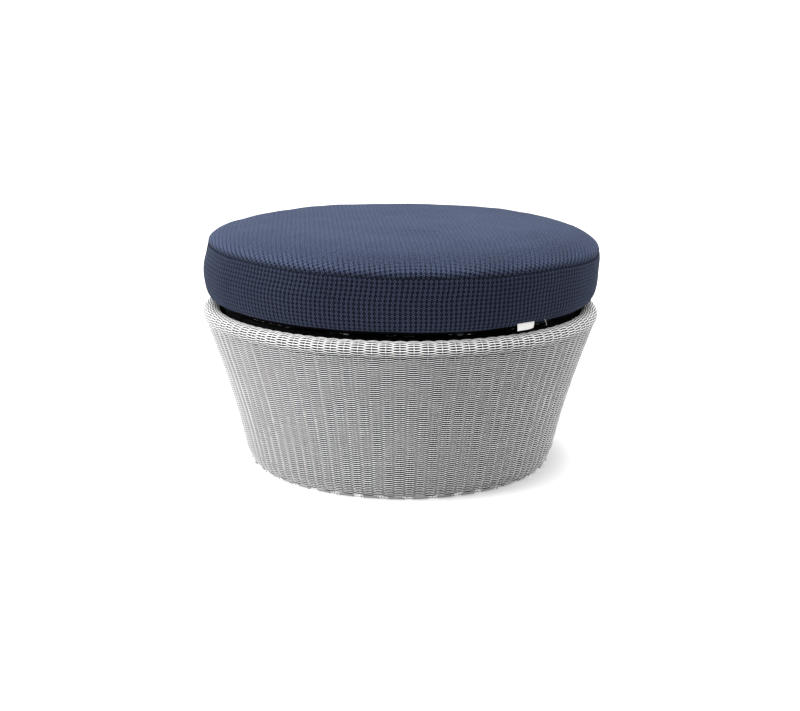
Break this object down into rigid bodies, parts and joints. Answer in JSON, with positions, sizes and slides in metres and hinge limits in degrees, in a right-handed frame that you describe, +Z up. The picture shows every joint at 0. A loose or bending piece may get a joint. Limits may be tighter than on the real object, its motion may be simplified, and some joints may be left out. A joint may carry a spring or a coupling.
{
  "type": "outdoor ottoman footstool",
  "caption": "Round outdoor ottoman: a flared woven base with a rolled rim on a tube frame, a webbing seat deck, and a thick boxed cushion with a crowned top that lifts off.",
  "frame": {"origin": "centre of the footprint, on the floor", "axes": "+Z up, -Y the front that the picture shows, +X to its right; the zip is at the back"},
  "size_m": [0.7996, 0.7996, 0.4882],
  "materials": {
    "frame_tube": "mill finish, welded",
    "seat_webbing": "matt woven webbing",
    "weave": "satin extruded strand",
    "binding": "satin flat strap",
    "cover": "matt coarse plain weave",
    "underside": "matt",
    "foam": "open-cell foam, hidden",
    "zip_tape": "matt tape with a moulded chain",
    "zip_metal": "dark satin",
    "tag": "matt, bare"
  },
  "bodies": {
    "base": {"top_ring": "frame_tube", "bottom_ring": "frame_tube", "seat_ring": "frame_tube", "long_cross_bar": "frame_tube", "front_cross_bar": "frame_tube", "rear_cross_bar": "frame_tube", "upright_1": "frame_tube", "upright_2": "frame_tube", "upright_3": "frame_tube", "upright_4": "frame_tube", "upright_5": "frame_tube", "upright_6": "frame_tube", "upright_7": "frame_tube", "upright_8": "frame_tube", "seat_strap_across_1": "seat_webbing", "seat_strap_across_2": "seat_webbing", "seat_strap_across_3": "seat_webbing", "seat_strap_across_4": "seat_webbing", "seat_strap_lengthwise_1": "seat_webbing", "seat_strap_lengthwise_2": "seat_webbing", "seat_strap_lengthwise_3": "seat_webbing", "seat_strap_lengthwise_4": "seat_webbing", "woven_wall": "weave", "woven_rim": "weave", "binding_strap": "binding"},
    "cushion": {"cushion_foam": "foam", "cushion_base_panel": "underside", "cushion_side_band": "cover", "cushion_top_panel": "cover", "zip_tape": "zip_tape", "care_tag": "tag"},
    "zip_slider": {"zip_slider": "zip_metal"},
    "zip_pull": {"zip_pull": "zip_metal"}
  },
  "joints": [
    {"name": "cushion_lift", "type": "slide", "parent": "base", "child": "cushion", "axis": [0, 0, 1], "range_m": [0, 0.3]},
    {"name": "zip_run", "type": "hinge", "parent": "cushion", "child": "zip_slider", "pos_m": [0, 0, 0.37172], "axis": [0, 0, 1], "range_deg": [0, 135]},
    {"name": "pull_swing", "type": "hinge", "parent": "zip_slider", "child": "zip_pull", "pos_m": [0.36857, 0.16064, 0.37172], "axis": [0, 0, -1], "range_deg": [0, 170]}
  ]
}
